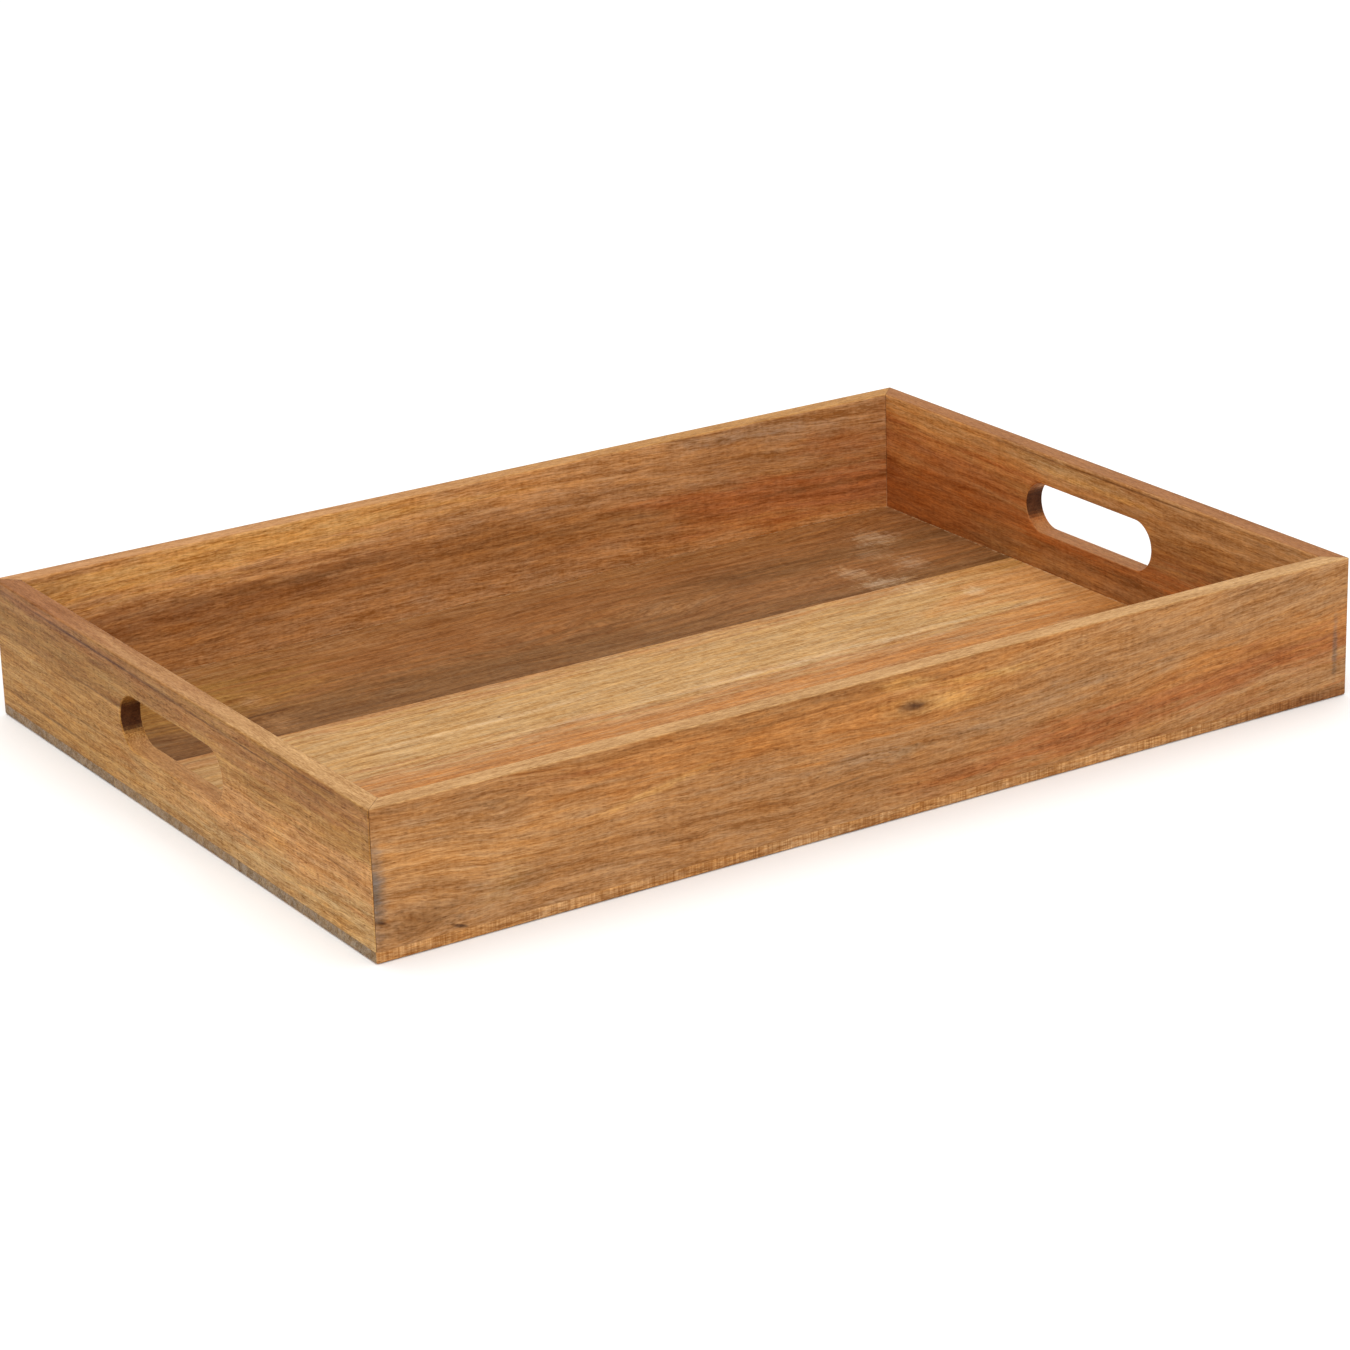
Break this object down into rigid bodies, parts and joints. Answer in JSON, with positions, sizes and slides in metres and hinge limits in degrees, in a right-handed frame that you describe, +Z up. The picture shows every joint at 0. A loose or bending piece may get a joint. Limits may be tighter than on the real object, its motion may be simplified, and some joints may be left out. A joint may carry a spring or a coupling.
{
  "type": "serving tray",
  "caption": "Rectangular wooden serving tray with mitred upright walls, a flat edge-glued base and a round-ended handle slot in each end.",
  "frame": {"origin": "centre of the tray's underside", "axes": "+X along the length, to the right seen from the front; +Y to the back; +Z up"},
  "size_m": [0.5, 0.35, 0.065],
  "materials": {
    "acacia_front": "oiled satin acacia, orange-brown heartwood",
    "acacia_back": "oiled satin acacia, dark brown to golden",
    "acacia_left": "oiled satin acacia, golden tan",
    "acacia_right": "oiled satin acacia, red-brown",
    "acacia_base_back": "oiled satin acacia, dark walnut brown",
    "acacia_base_middle": "oiled satin acacia, golden sapwood",
    "acacia_base_front": "oiled satin acacia, orange-brown",
    "steel": "bright drawn steel"
  },
  "bodies": {
    "root": {"front_wall": "acacia_front", "back_wall": "acacia_back", "left_end": "acacia_left", "right_end": "acacia_right", "base_board_back": "acacia_base_back", "base_board_middle": "acacia_base_middle", "base_board_front": "acacia_base_front", "mitre_nails": "steel", "base_brads": "steel"}
  },
  "joints": []
}
